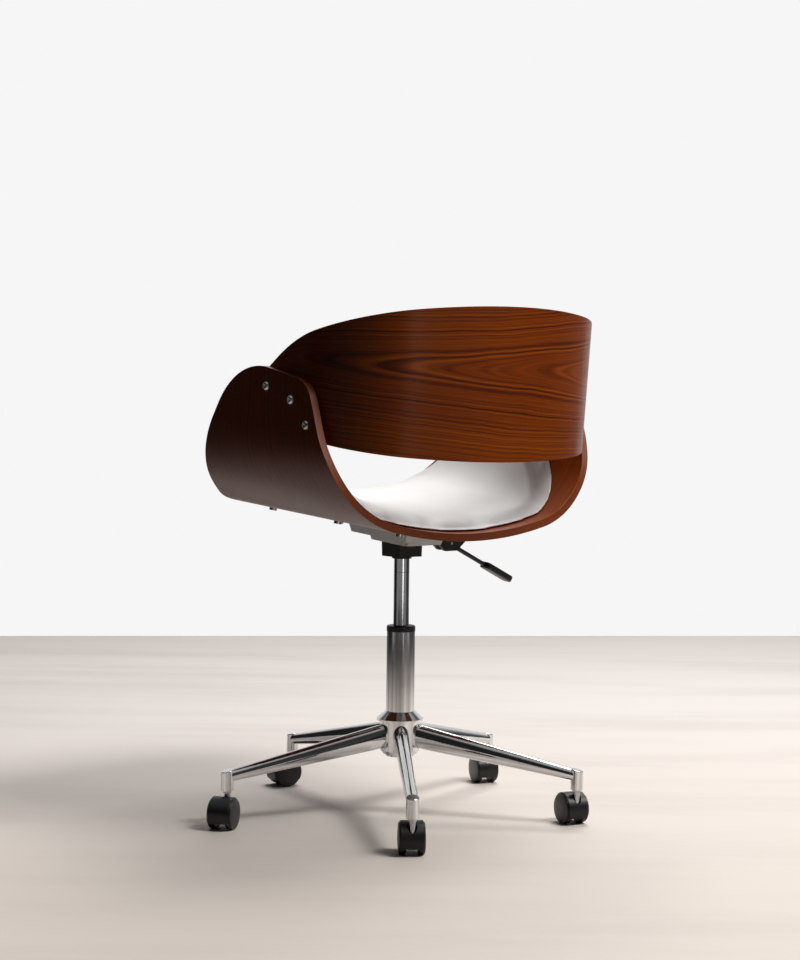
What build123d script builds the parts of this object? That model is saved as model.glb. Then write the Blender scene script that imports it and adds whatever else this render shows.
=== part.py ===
import os
from math import asin, cos, degrees, radians, sin, sqrt, tan

from build123d import *

# Bentwood swivel desk chair. Millimetres, +Z up, the floor at Z = 0 under the column axis.
# The sitter faces -Y, and the sitter's left is +X.

# Casters
wheel_radius = 26.5
wheel_width = 11.5
wheel_gap = 20.0
wheel_dome = 1.2
wheel_dome_fullness = 0.7
wheel_cap_radius = 9.0
wheel_chamfer = 1.5
caster_trail = 18.0
caster_yaws = (180.0, 128.0, 51.0, 80.0, 53.0)
hood_wall = 1.5
hood_overhang = 9.0
hood_floor_gap = 12.5
hood_clearance = 0.6
hood_arris = 0.8
axle_radius = 3.0
axle_seat = 8.0
stem_radius = 5.5
stem_collar_radius = 7.5
stem_collar_height = 4.0
stem_neck = 3.5
stem_in_socket = 24.0
stem_in_hood = 10.0
stem_chamfer = 1.0
stem_recess_radius = 8.0
stem_recess_depth = 13.0

# Base
leg_start_angle = 56.0
base_radius = 320.0
socket_radius = 11.0
socket_lip = 0.5
socket_arris = 1.5
leg_root_width = 28.0
leg_root_height = 44.0
leg_tip_diameter = 20.0
leg_root_level = 142.0
leg_tip_level = 87.0
leg_root_depth = 7.0
hub_radius = 35.0
hub_flange_radius = 41.5
hub_flange_edge = 3.0
hub_bevel = 13.0
hub_top_rim = 1.5
hub_margin = 5.0
hub_foot = 6.0
hub_foot_taper = 5.0
hub_pocket_gap = 0.5

# Column and gas lift
column_radius = 25.0
column_wall = 2.0
column_base = 3.0
column_foot = 4.0
column_top = 328.0
bush_collar_height = 10.0
bush_collar_lip = 0.6
bush_collar_chamfer = 1.5
bush_length = 75.0
lift_radius = 14.0
lift_wall = 2.0
lift_cap = 6.0
lift_engaged = 85.0
lift_chamfer = 1.0
rod_radius = 5.0
rod_guide_length = 8.0
rod_collar_radius = 8.0
rod_collar_height = 3.0
rod_tail = 3.0
piston_length = 12.0
piston_rest_gap = 1.0
thrust_radius = 13.0
thrust_washer = 2.5
thrust_cage_height = 4.0
clip_radius = 9.0
clip_thickness = 2.0
valve_pin_radius = 3.0
valve_pin_depth = 12.0
valve_bore_depth = 22.0

# Seat shell: one panel bent up into both arms, falling to the rear by the rake
seat_rake = 3.8
sole_level = 514.0
shell_thickness = 13.0
shell_half_width = 297.0
sole_radius = 725.0
bend_radius = 171.0
shell_arris = 2.0
seat_rear = 196.0
seat_front = 314.0
seat_front_rise = 14.0
arm_rear_middle = (170.0, 115.0)
arm_rear_top = (109.0, 261.0)
arm_front_top = (-104.0, 291.0)
arm_front_foot = (-261.0, 46.0)
arm_rear_middle_radius = 320.0
arm_rear_top_radius = 55.0
arm_front_top_radius = 155.0
arm_front_foot_radius = 90.0
seat_front_radius = 18.0

# Back shell: a leaning panel bent round the sitter and narrowing into two wings, set over the sole
back_lean = 5.2
back_rise = 219.0
back_thickness = 12.0
back_rear = 297.0
back_rear_radius = 441.0
back_corner_radius = 180.0
back_wing_reach = 190.0
back_arris = 2.0
back_top_end = (372.0, 393.0)
back_top_bend = (65.0, 323.5)
back_wing_tip = (-100.0, 219.0)
back_bottom_bend = (110.0, 158.0)
back_bottom_end = (372.0, 108.0)
back_top_bend_radius = 330.0
back_wing_tip_radius = 30.0
back_bottom_bend_radius = 400.0
wing_gap = 0.1

# Upholstery
pad_gap = 0.3
seat_pad_crown = 31.0
seat_pad_edge = 17.0
seat_pad_rear = 184.0
seat_pad_front = 300.0
seat_pad_front_rise = 10.0
seat_pad_rear_bend = (162.0, 45.0)
seat_pad_side_rear = (50.0, 148.0)
seat_pad_side_front = (-178.0, 148.0)
seat_pad_front_foot = (-252.0, 36.0)
seat_pad_rear_radius = 90.0
seat_pad_side_radius = 40.0
seat_pad_foot_radius = 60.0
seat_pad_nose_radius = 12.0
seat_pad_roll = 6.0
back_pad_crown = 24.0
back_pad_edge = 14.0
back_pad_inset = 15.0
back_pad_roll = 5.0

# Swivel plate, lift socket and lever
plate_half_width = 74.0
plate_front = 100.0
plate_rear = 98.0
plate_depth = 25.0
plate_shelf_depth = 16.0
plate_shelf_side = 9.0
plate_shelf_front = 38.0
plate_wall = 2.5
plate_flange = 12.0
plate_corner = 12.0
plate_draft = 20.0
lift_socket_width = 55.0
lift_socket_height = 27.0
lift_socket_corner = 8.0
lift_socket_draft = 2.0
lift_ring_height = 4.0
lift_ring_wall = 3.5
bracket_reach = 143.0
bracket_width = 26.0
bracket_nose = 14.0
bracket_tail_height = 25.0
bracket_root_height = 20.0
bracket_slot = 11.0
bracket_bridge = 4.0
bracket_bridge_length = 40.0
bracket_corner = 3.0
lever_drop = 8.5
lever_overhang = 6.0
lever_knee = 58.0
lever_knee_radius = 30.0
lever_fall = 26.0
lever_pivot = 106.0
lever_boss_radius = 6.5
lever_boss_width = 10.0
lever_radius = 4.0
lever_reach = 196.0
lever_slot_drop = 20.0
lever_pin_radius = 2.5
paddle_length = 72.0
paddle_width = 25.0
paddle_thickness = 12.0
paddle_corner = 8.0
paddle_arris = 3.0
paddle_grip = 14.0

# Fasteners
arm_screw_points = ((-10.0, 246.0), (63.0, 228.0), (110.0, 190.0))
arm_nut_insets = (0.0, 0.0, 1.5)
arm_screw_head_radius = 7.0
arm_screw_head_height = 3.2
arm_screw_shoulder_out = 0.85
arm_screw_shoulder_up = 0.72
arm_screw_radius = 3.0
arm_washer_radius = 8.5
arm_washer_thickness = 0.8
arm_nut_radius = 6.0
arm_nut_depth = 8.0
arm_screw_engaged = 5.0
hex_socket_radius = 3.0
hex_socket_depth = 2.0
pad_screw_side = 115.0
pad_screw_front = 240.0
pad_screw_middle = 37.0
pad_screw_rear = 140.0
pad_screw_head_radius = 7.0
pad_screw_head_height = 5.0
pad_screw_radius = 2.5
plate_bolt_head_radius = 5.0
plate_bolt_head_height = 4.0
plate_bolt_radius = 3.0
plate_bolt_depth = 9.0
plate_bolt_margin = 8.0

# Clearances
press_gap = 0.02
running_gap = 0.05
touch_gap = 0.1
free_gap = 0.3
overrun = 30.0

os.makedirs("parts", exist_ok=True)


def save(piece, name):
    piece.part.label = name
    export_step(piece.part, "parts/" + name + ".step")


def turned(name, *profile):
    with BuildPart() as piece:
        with BuildSketch(Plane.XZ):
            with BuildLine():
                Polyline(*profile, close=True)
            make_face()
        revolve(axis=Axis.Z)
    save(piece, name)


def ring(name, inner, outer, bottom, height):
    top = bottom + height
    turned(name, (inner, bottom), (outer, bottom), (outer, top), (inner, top))


# Planes of the seat and of the back
rake = radians(seat_rake)
lean = radians(back_lean)
seat_plane = Plane((0, 0, sole_level), x_dir=(1, 0, 0), z_dir=(0, sin(rake), cos(rake)))
seat_section = Plane(seat_plane.origin, x_dir=(1, 0, 0), z_dir=-seat_plane.y_dir)
seat_side = Plane(seat_plane.origin, x_dir=seat_plane.y_dir, z_dir=(1, 0, 0))
back_plane = Plane((0, 0, sole_level + back_rise), x_dir=(1, 0, 0), z_dir=(0, sin(lean), cos(lean)))
back_side = Plane((0, 0, sole_level), x_dir=(0, 1, 0), z_dir=(1, 0, 0))


# Tangent plane of the seat's underside, its Z pointing into the shell
def under_seat(side, station):
    swing = asin(side / sole_radius)
    rise = sole_radius * (1 - cos(swing))
    return Plane(seat_plane.location * Location((side, station, rise), (0, -degrees(swing), 0)))


# Levels and faces that follow from the sizes
hood_radius = wheel_radius + hood_clearance + hood_wall
socket_bottom = wheel_radius + hood_radius + stem_neck + stem_collar_height
leg_root = hub_radius - leg_root_depth
hub_bottom = leg_root_level - leg_root_height / 2 - hub_margin - hub_foot
hub_shoulder = leg_root_level + leg_root_height / 2 + hub_margin
hub_top = hub_shoulder + hub_flange_edge + hub_bevel
column_bottom = hub_bottom - column_foot
column_bore = column_radius - column_wall
washer_bottom = column_bottom + column_base
cage_bottom = washer_bottom + thrust_washer
upper_washer_bottom = cage_bottom + thrust_cage_height + touch_gap
rod_collar_bottom = upper_washer_bottom + thrust_washer
lift_bore = lift_radius - lift_wall
lift_bottom = column_top - lift_engaged
plate_floor = sole_level - plate_depth
lift_top = plate_floor + plate_wall
lift_chamber_top = lift_top - valve_bore_depth - lift_cap
piston_bottom = lift_bottom + rod_guide_length + piston_rest_gap
lift_socket_bottom = plate_floor - lift_socket_height
arm_inner = shell_half_width - shell_thickness
wing_outer = arm_inner - wing_gap
wing_inner = wing_outer - back_thickness
pad_depth = shell_thickness + pad_gap
back_pad_depth = back_thickness + pad_gap
arm_top = max(arm_rear_top[1], arm_front_top[1]) + overrun

# Caster, drawn with its stem on the Z axis and its axle behind it along +X
axle_plane = Plane((caster_trail, 0, wheel_radius), x_dir=(0, 1, 0), z_dir=(1, 0, 0))
axle_axis = Axis((caster_trail, 0, wheel_radius), (0, 1, 0))
axle_cross = Plane((caster_trail, 0, wheel_radius), x_dir=(1, 0, 0), z_dir=(0, 1, 0))
web_half = wheel_gap / 2 - hood_clearance
hood_half = wheel_gap / 2 + hood_overhang
hood_shoulder = wheel_radius + sqrt(hood_radius**2 - caster_trail**2)
recess_floor = hood_shoulder - stem_recess_depth
wheel_inner = wheel_gap / 2
wheel_outer = wheel_inner + wheel_width
wheel_bore = axle_radius + running_gap
bore_end = wheel_inner + axle_seat + free_gap
rim_radius = wheel_radius - wheel_chamfer

with BuildPart() as wheel_left:
    with BuildSketch(axle_plane):
        with BuildLine():
            Polyline(
                (wheel_outer + wheel_dome, wheel_cap_radius),
                (wheel_outer + wheel_dome, 0),
                (bore_end, 0),
                (bore_end, wheel_bore),
                (wheel_inner, wheel_bore),
                (wheel_inner, rim_radius),
                (wheel_inner + wheel_chamfer, wheel_radius),
                (wheel_outer - wheel_chamfer, wheel_radius),
                (wheel_outer, rim_radius),
            )
            ThreePointArc(
                (wheel_outer, rim_radius),
                (wheel_outer + wheel_dome_fullness * wheel_dome, (rim_radius + wheel_cap_radius) / 2),
                (wheel_outer + wheel_dome, wheel_cap_radius),
            )
        make_face()
    revolve(axis=axle_axis)

with BuildPart() as wheel_right:
    add(wheel_left.part)
    mirror(about=Plane.XZ, mode=Mode.REPLACE)

with BuildPart() as caster_hood:
    with BuildSketch(axle_cross):
        Circle(hood_radius)
    extrude(amount=hood_half, both=True)
    chamfer(caster_hood.edges().filter_by(GeomType.CIRCLE), hood_arris)
    for side in (1, -1):
        with BuildSketch(axle_cross.offset(side * web_half)):
            Circle(wheel_radius + hood_clearance)
        extrude(amount=side * hood_half, mode=Mode.SUBTRACT)
    with BuildSketch(Plane.XY.offset(hood_floor_gap)):
        with Locations((caster_trail, 0)):
            Rectangle(4 * hood_radius, 4 * hood_half)
    extrude(amount=-2 * hood_radius, mode=Mode.SUBTRACT)
    with BuildSketch(Plane.XY.offset(recess_floor)):
        Circle(stem_recess_radius)
    extrude(amount=2 * hood_radius, mode=Mode.SUBTRACT)
    with BuildSketch(Plane.XY.offset(recess_floor)):
        Circle(stem_radius + press_gap)
    extrude(amount=-stem_in_hood, mode=Mode.SUBTRACT)
    with BuildSketch(axle_cross):
        Circle(axle_radius + press_gap)
    extrude(amount=hood_half, both=True, mode=Mode.SUBTRACT)

with BuildPart() as caster_axle:
    with BuildSketch(axle_cross):
        Circle(axle_radius)
    extrude(amount=wheel_inner + axle_seat, both=True)

with BuildPart() as caster_stem:
    with BuildSketch(Plane.XY.offset(recess_floor - stem_in_hood)):
        Circle(stem_radius)
    extrude(amount=socket_bottom + stem_in_socket - recess_floor + stem_in_hood)
    with BuildSketch(Plane.XY.offset(socket_bottom - touch_gap)):
        Circle(stem_collar_radius)
    extrude(amount=touch_gap - stem_collar_height)
    chamfer(caster_stem.edges().sort_by(Axis.Z)[-1], stem_chamfer)

caster_pieces = (
    (caster_hood, "hood"),
    (caster_stem, "stem"),
    (caster_axle, "axle"),
    (wheel_left, "wheel_left"),
    (wheel_right, "wheel_right"),
)

# Leg, drawn along +X: an oval tube that tapers to a round tip with an upright socket
leg_root_plane = Plane((leg_root, 0, leg_root_level), x_dir=(0, 1, 0), z_dir=(1, 0, 0))
leg_tip_plane = Plane((base_radius, 0, leg_tip_level), x_dir=(0, 1, 0), z_dir=(1, 0, 0))
leg_crest_root = leg_root_level + leg_root_height / 2 + socket_lip
leg_crest_tip = leg_tip_level + leg_tip_diameter / 2 + socket_lip
leg_crest_slope = (leg_crest_tip - leg_crest_root) / (base_radius - leg_root)
crest_in = base_radius - 2 * socket_radius
crest_out = base_radius + 2 * socket_radius
crest_lid = leg_crest_root + overrun

with BuildPart() as leg:
    with BuildSketch(Plane.XY.offset(socket_bottom)):
        with Locations((base_radius, 0)):
            Circle(socket_radius)
    extrude(amount=crest_lid - socket_bottom)
    with BuildSketch(Plane.XZ):
        with BuildLine():
            Polyline(
                (crest_in, leg_crest_root + (crest_in - leg_root) * leg_crest_slope),
                (crest_out, leg_crest_root + (crest_out - leg_root) * leg_crest_slope),
                (crest_out, crest_lid + overrun),
                (crest_in, crest_lid + overrun),
                close=True,
            )
        make_face()
    extrude(amount=2 * socket_radius, both=True, mode=Mode.SUBTRACT)
    fillet(leg.faces().sort_by(Axis.Z)[-1].edges(), socket_arris)
    with BuildSketch(leg_root_plane):
        Ellipse(leg_root_width / 2, leg_root_height / 2)
    with BuildSketch(leg_tip_plane):
        Circle(leg_tip_diameter / 2)
    loft()
    with BuildSketch(Plane.XY.offset(socket_bottom)):
        with Locations((base_radius, 0)):
            Circle(stem_radius + running_gap)
    extrude(amount=stem_in_socket + free_gap, mode=Mode.SUBTRACT)

leg_angles = [leg_start_angle + index * 360 / len(caster_yaws) for index in range(len(caster_yaws))]

for index, angle in enumerate(leg_angles):
    number = str(index + 1)
    with BuildPart() as placed_leg:
        add(leg.part, rotation=(0, 0, angle))
    save(placed_leg, "leg_" + number)
    tip = (base_radius * cos(radians(angle)), base_radius * sin(radians(angle)), 0)
    for piece, suffix in caster_pieces:
        with BuildPart() as placed:
            with Locations(Location(tip, (0, 0, angle + caster_yaws[index]))):
                add(piece.part)
        save(placed, "caster_" + number + "_" + suffix)

# Hub with one oval pocket for each leg root
hub_bore = column_radius + press_gap

with BuildPart() as hub:
    with BuildSketch(Plane.XZ):
        with BuildLine():
            Polyline(
                (hub_bore, hub_bottom),
                (hub_radius - hub_foot_taper, hub_bottom),
                (hub_radius, hub_bottom + hub_foot),
                (hub_radius, hub_shoulder),
                (hub_flange_radius, hub_shoulder),
                (hub_flange_radius, hub_shoulder + hub_flange_edge),
                (hub_bore + hub_top_rim, hub_top),
                (hub_bore, hub_top),
                close=True,
            )
        make_face()
    revolve(axis=Axis.Z)
    for angle in leg_angles:
        out = Vector(cos(radians(angle)), sin(radians(angle)), 0)
        across = Vector(-out.Y, out.X, 0)
        floor = out * (leg_root - press_gap) + Vector(0, 0, leg_root_level)
        with BuildSketch(Plane(floor, x_dir=across, z_dir=out)):
            Ellipse(leg_root_width / 2 + hub_pocket_gap, leg_root_height / 2 + hub_pocket_gap)
        with BuildSketch(Plane(out * base_radius + Vector(0, 0, leg_tip_level), x_dir=across, z_dir=out)):
            Circle(leg_tip_diameter / 2 + hub_pocket_gap)
        loft(mode=Mode.SUBTRACT)
save(hub, "hub")

# Column tube and the parts turned round its axis
turned(
    "column_tube",
    (rod_radius + running_gap, column_bottom),
    (column_radius, column_bottom),
    (column_radius, column_top),
    (column_bore, column_top),
    (column_bore, washer_bottom),
    (rod_radius + running_gap, washer_bottom),
)

bush_bore = lift_radius + running_gap
bush_collar_radius = column_radius + bush_collar_lip
bush_top = column_top + bush_collar_height
turned(
    "guide_bush",
    (bush_bore, column_top - bush_length),
    (column_bore - press_gap, column_top - bush_length),
    (column_bore - press_gap, column_top),
    (bush_collar_radius, column_top),
    (bush_collar_radius, bush_top - bush_collar_chamfer),
    (bush_collar_radius - bush_collar_chamfer, bush_top),
    (bush_bore, bush_top),
)

ring("thrust_washer_lower", rod_radius + running_gap, thrust_radius, washer_bottom, thrust_washer)
ring("thrust_cage", rod_radius + running_gap, thrust_radius, cage_bottom, thrust_cage_height)
ring("thrust_washer_upper", rod_radius + press_gap, thrust_radius, upper_washer_bottom, thrust_washer)

clip_top = column_bottom - touch_gap
ring("rod_clip", rod_radius + press_gap, clip_radius, clip_top - clip_thickness, clip_thickness)

rod_collar_top = rod_collar_bottom + rod_collar_height
piston_top = piston_bottom + piston_length
turned(
    "piston_rod",
    (0, clip_top - clip_thickness - rod_tail),
    (rod_radius, clip_top - clip_thickness - rod_tail),
    (rod_radius, rod_collar_bottom),
    (rod_collar_radius, rod_collar_bottom),
    (rod_collar_radius, rod_collar_top),
    (rod_radius, rod_collar_top),
    (rod_radius, piston_bottom),
    (lift_bore - running_gap, piston_bottom),
    (lift_bore - running_gap, piston_top),
    (0, piston_top),
)

turned(
    "lift_cylinder",
    (lift_bore, lift_bottom),
    (lift_radius, lift_bottom),
    (lift_radius, lift_top - lift_chamfer),
    (lift_radius - lift_chamfer, lift_top),
    (valve_pin_radius + running_gap, lift_top),
    (valve_pin_radius + running_gap, lift_top - valve_bore_depth),
    (0, lift_top - valve_bore_depth),
    (0, lift_chamber_top),
    (lift_bore, lift_chamber_top),
)

ring("rod_guide", rod_radius + running_gap, lift_bore - press_gap, lift_bottom, rod_guide_length)

valve_pin_bottom = lift_top - valve_pin_depth
valve_pin_top = sole_level - lever_drop - lever_radius - free_gap
ring("valve_pin", 0, valve_pin_radius, valve_pin_bottom, valve_pin_top - valve_pin_bottom)


# Outer edge of the seat's bent section, moved a given depth into the panel
def seat_bend(depth):
    swing = degrees(asin((shell_half_width - bend_radius) / (sole_radius - bend_radius)))
    centre = shell_half_width - bend_radius
    rise = sole_radius - (sole_radius - bend_radius) * cos(radians(swing))
    side = shell_half_width - depth
    Line((-side, arm_top), (-side, rise))
    CenterArc((-centre, rise), bend_radius - depth, 180, 90 - swing)
    CenterArc((0, sole_radius), sole_radius - depth, 270 - swing, 2 * swing)
    CenterArc((centre, rise), bend_radius - depth, 270 + swing, 90 - swing)
    Line((side, rise), (side, arm_top))


# Outer edge of the back's plan, moved a given depth into the panel
def back_bend(depth):
    centre = wing_outer - back_corner_radius
    swing = degrees(asin(centre / (back_rear_radius - back_corner_radius)))
    middle = back_rear - back_rear_radius
    corner = middle + (back_rear_radius - back_corner_radius) * cos(radians(swing))
    side = wing_outer - depth
    Line((-side, -back_wing_reach), (-side, corner))
    CenterArc((-centre, corner), back_corner_radius - depth, 90 + swing, 90 - swing)
    CenterArc((0, middle), back_rear_radius - depth, 90 - swing, 2 * swing)
    CenterArc((centre, corner), back_corner_radius - depth, 0, 90 - swing)
    Line((side, corner), (side, -back_wing_reach))


# Closed edge between two depths of a bent section, its free ends along one level
def seat_strip(outer, inner):
    seat_bend(outer)
    seat_bend(inner)
    for side in (1, -1):
        start = (side * (shell_half_width - outer), arm_top)
        Line(start, (side * (shell_half_width - inner), arm_top))


def back_strip(outer, inner):
    back_bend(outer)
    back_bend(inner)
    for side in (1, -1):
        start = (side * (wing_outer - outer), -back_wing_reach)
        Line(start, (side * (wing_outer - inner), -back_wing_reach))


# Edges along a pad's outline, where a face cut across the panel meets its lofted faces
def pad_rim(pad):
    cuts = pad.faces().filter_by(lambda face: face.geom_type != GeomType.BSPLINE)
    return ShapeList(cuts.edges()).filter_by(Axis.X, reverse=True)


# Places of the arm screws, their Z pointing out of the arm
def arm_spots(distance):
    return [
        seat_side.location * Location((station, height, side * distance), (0, 90 - 90 * side, 0))
        for side in (1, -1)
        for station, height in arm_screw_points
    ]


# Seat shell
sole_foot = (seat_rear - arm_rear_middle[0]) * overrun / arm_rear_middle[1]
plate_bolt_side = plate_half_width - plate_flange / 2
plate_bolt_planes = [
    under_seat(side * plate_bolt_side, station)
    for side in (1, -1)
    for station in (plate_bolt_margin - plate_front, plate_rear - plate_bolt_margin)
]
pad_screw_planes = [
    under_seat(side * pad_screw_side, station)
    for side in (1, -1)
    for station in (-pad_screw_front, -pad_screw_middle, pad_screw_rear)
]

with BuildPart() as seat_shell:
    with BuildSketch(seat_section):
        with BuildLine():
            seat_strip(0, shell_thickness)
        make_face()
    extrude(amount=seat_front + overrun, both=True)
    with BuildSketch(seat_side):
        with BuildLine():
            FilletPolyline(
                (seat_rear + sole_foot, -overrun),
                arm_rear_middle,
                arm_rear_top,
                arm_front_top,
                arm_front_foot,
                (-seat_front, seat_front_rise),
                (-seat_front, -overrun),
                radius=[
                    arm_rear_middle_radius,
                    arm_rear_top_radius,
                    arm_front_top_radius,
                    arm_front_foot_radius,
                    seat_front_radius,
                ],
            )
            Line((-seat_front, -overrun), (seat_rear + sole_foot, -overrun))
        make_face()
    extrude(amount=shell_half_width + overrun, both=True, mode=Mode.INTERSECT)
    shell_rim = seat_shell.edges().filter_by(Axis.X, reverse=True)
    fillet(shell_rim.filter_by(Axis(seat_plane.origin, seat_plane.y_dir), reverse=True), shell_arris)
    with BuildSketch(seat_side):
        with Locations(*arm_screw_points):
            Circle(arm_screw_radius + free_gap)
    extrude(amount=shell_half_width + overrun, both=True, mode=Mode.SUBTRACT)
    with BuildSketch(*pad_screw_planes):
        Circle(pad_screw_radius + press_gap)
    extrude(amount=2 * shell_thickness, both=True, mode=Mode.SUBTRACT)
    with BuildSketch(*plate_bolt_planes):
        Circle(plate_bolt_radius + press_gap)
    extrude(amount=plate_bolt_depth + free_gap, both=True, mode=Mode.SUBTRACT)
save(seat_shell, "seat_shell")

# Back shell
with BuildPart() as back_shell:
    with BuildSketch(back_plane):
        with BuildLine():
            back_strip(0, back_thickness)
        make_face()
    extrude(amount=back_top_end[1] - back_bottom_end[1], both=True)
    with BuildSketch(back_side):
        with BuildLine():
            FilletPolyline(
                back_top_end,
                back_top_bend,
                back_wing_tip,
                back_bottom_bend,
                back_bottom_end,
                radius=[back_top_bend_radius, back_wing_tip_radius, back_bottom_bend_radius],
            )
            Line(back_bottom_end, back_top_end)
        make_face()
    extrude(amount=shell_half_width, both=True, mode=Mode.INTERSECT)
    back_rim = back_shell.edges().filter_by(Axis.X, reverse=True)
    fillet(back_rim.filter_by(Axis(back_plane.origin, back_plane.z_dir), reverse=True), back_arris)
    with BuildSketch(seat_section):
        with BuildLine():
            seat_strip(0, shell_thickness + wing_gap)
        make_face()
    extrude(amount=seat_front + overrun, both=True, mode=Mode.SUBTRACT)
    with BuildSketch(seat_side):
        with Locations(*arm_screw_points):
            Circle(arm_screw_radius + free_gap)
    extrude(amount=shell_half_width, both=True, mode=Mode.SUBTRACT)
    for spot, inset in zip(arm_spots(wing_inner + arm_nut_depth), arm_nut_insets * 2):
        with BuildSketch(Plane(spot).offset(-inset)):
            Circle(arm_nut_radius + press_gap)
        extrude(amount=-2 * back_thickness, mode=Mode.SUBTRACT)
save(back_shell, "back_shell")

# Seat pad: the bent section lofted through thin ends and a full middle, then cut to its outline
pad_length = seat_pad_front + seat_pad_rear
seat_pad_full = (seat_pad_crown + seat_pad_edge) / 2
seat_pad_stations = (
    (-seat_pad_front, seat_pad_edge),
    (-seat_pad_front + pad_length / 5, seat_pad_full + seat_pad_edge / 4),
    (-seat_pad_front + pad_length / 2, seat_pad_crown),
    (seat_pad_rear - pad_length / 5, seat_pad_full + seat_pad_edge / 4),
    (seat_pad_rear, seat_pad_edge),
)
pad_foot = (seat_pad_rear - seat_pad_rear_bend[0]) * overrun / seat_pad_rear_bend[1]

with BuildPart() as seat_pad:
    for station, thickness in seat_pad_stations:
        with BuildSketch(seat_section.offset(-station)):
            with BuildLine():
                seat_strip(pad_depth, pad_depth + thickness)
            make_face()
    loft()
    with BuildSketch(seat_side):
        with BuildLine():
            FilletPolyline(
                (seat_pad_rear + pad_foot, -overrun),
                seat_pad_rear_bend,
                seat_pad_side_rear,
                seat_pad_side_front,
                seat_pad_front_foot,
                (-seat_pad_front, seat_pad_front_rise),
                (-seat_pad_front, -overrun),
                radius=[
                    seat_pad_rear_radius,
                    seat_pad_rear_radius,
                    seat_pad_side_radius,
                    seat_pad_foot_radius,
                    seat_pad_nose_radius,
                ],
            )
            Line((-seat_pad_front, -overrun), (seat_pad_rear + pad_foot, -overrun))
        make_face()
    extrude(amount=shell_half_width, both=True, mode=Mode.INTERSECT)
    fillet(pad_rim(seat_pad), seat_pad_roll)
save(seat_pad, "seat_pad")

# Back pad: the same for the back, inside an outline drawn in from the panel's own
back_pad_low = back_bottom_end[1] - back_rise
back_pad_high = back_top_end[1] - back_rise
back_pad_span = back_pad_high - back_pad_low
back_pad_full = (back_pad_crown + back_pad_edge) / 2
back_pad_stations = (
    (back_pad_low, back_pad_edge),
    (back_pad_low + back_pad_span / 4, back_pad_full + back_pad_edge / 4),
    (back_pad_low + back_pad_span / 2, back_pad_crown),
    (back_pad_high - back_pad_span / 4, back_pad_full + back_pad_edge / 4),
    (back_pad_high, back_pad_edge),
)

with BuildPart() as back_pad:
    for height, thickness in back_pad_stations:
        with BuildSketch(back_plane.offset(height)):
            with BuildLine():
                back_strip(back_pad_depth, back_pad_depth + thickness)
            make_face()
    loft()
    with BuildSketch(back_side):
        with BuildLine():
            FilletPolyline(
                back_top_end,
                back_top_bend,
                back_wing_tip,
                back_bottom_bend,
                back_bottom_end,
                radius=[back_top_bend_radius, back_wing_tip_radius, back_bottom_bend_radius],
            )
            Line(back_bottom_end, back_top_end)
        make_face()
        offset(amount=-back_pad_inset, mode=Mode.REPLACE)
    extrude(amount=shell_half_width, both=True, mode=Mode.INTERSECT)
    fillet(pad_rim(back_pad), back_pad_roll)
save(back_pad, "back_pad")

# Screws, washers and nuts that join the arms to the back's wings
head_top = arm_washer_thickness + arm_screw_head_height
head_shoulder = arm_washer_thickness + arm_screw_shoulder_up * arm_screw_head_height
screw_end = arm_nut_depth - back_thickness - shell_thickness - wing_gap - arm_screw_engaged

with BuildPart() as arm_screw:
    with BuildSketch(Plane.XZ):
        with BuildLine():
            Polyline(
                (arm_screw_head_radius / 2, head_top),
                (0, head_top),
                (0, screw_end),
                (arm_screw_radius, screw_end),
                (arm_screw_radius, arm_washer_thickness),
                (arm_screw_head_radius, arm_washer_thickness),
                (arm_screw_head_radius, arm_washer_thickness + arm_screw_head_height / 4),
            )
            ThreePointArc(
                (arm_screw_head_radius, arm_washer_thickness + arm_screw_head_height / 4),
                (arm_screw_shoulder_out * arm_screw_head_radius, head_shoulder),
                (arm_screw_head_radius / 2, head_top),
            )
        make_face()
    revolve(axis=Axis.Z)
    with BuildSketch(Plane.XY.offset(head_top)):
        RegularPolygon(hex_socket_radius, 6)
    extrude(amount=-hex_socket_depth, mode=Mode.SUBTRACT)

with BuildPart() as arm_screws:
    with Locations(*arm_spots(shell_half_width)):
        add(arm_screw.part)
save(arm_screws, "arm_screws")

with BuildPart() as arm_washers:
    for spot in arm_spots(shell_half_width):
        with BuildSketch(Plane(spot)):
            Circle(arm_washer_radius)
            Circle(arm_screw_radius + free_gap, mode=Mode.SUBTRACT)
        extrude(amount=arm_washer_thickness)
save(arm_washers, "arm_washers")

with BuildPart() as arm_nuts:
    for spot, inset in zip(arm_spots(wing_inner + arm_nut_depth), arm_nut_insets * 2):
        with BuildSketch(Plane(spot).offset(-inset)):
            Circle(arm_nut_radius)
            Circle(arm_screw_radius + press_gap, mode=Mode.SUBTRACT)
        extrude(amount=-arm_nut_depth)
save(arm_nuts, "arm_nuts")

# Screws that hold the pad from below the seat
with BuildPart() as pad_screws:
    with BuildSketch(*pad_screw_planes):
        Circle(pad_screw_head_radius)
    extrude(amount=-pad_screw_head_height)
    with BuildSketch(*pad_screw_planes):
        Circle(pad_screw_radius)
    extrude(amount=shell_thickness - free_gap)
save(pad_screws, "pad_screws")

# Swivel plate: a drafted tray stepped down to a pan, with a flange bent to the seat's underside
plate_length = plate_front + plate_rear
plate_middle = (plate_rear - plate_front) / 2
seat_underside = sole_radius + touch_gap
tray_width = 2 * (plate_half_width - plate_flange)
tray_length = plate_length - 2 * plate_flange
tray_draw = (plate_shelf_depth + 2 * plate_wall) * tan(radians(plate_draft))
pan_width = tray_width - 2 * tray_draw - 2 * plate_shelf_side
pan_length = tray_length - 2 * tray_draw - plate_shelf_side - plate_shelf_front
pan_middle = plate_middle + (plate_shelf_front - plate_shelf_side) / 2

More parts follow.
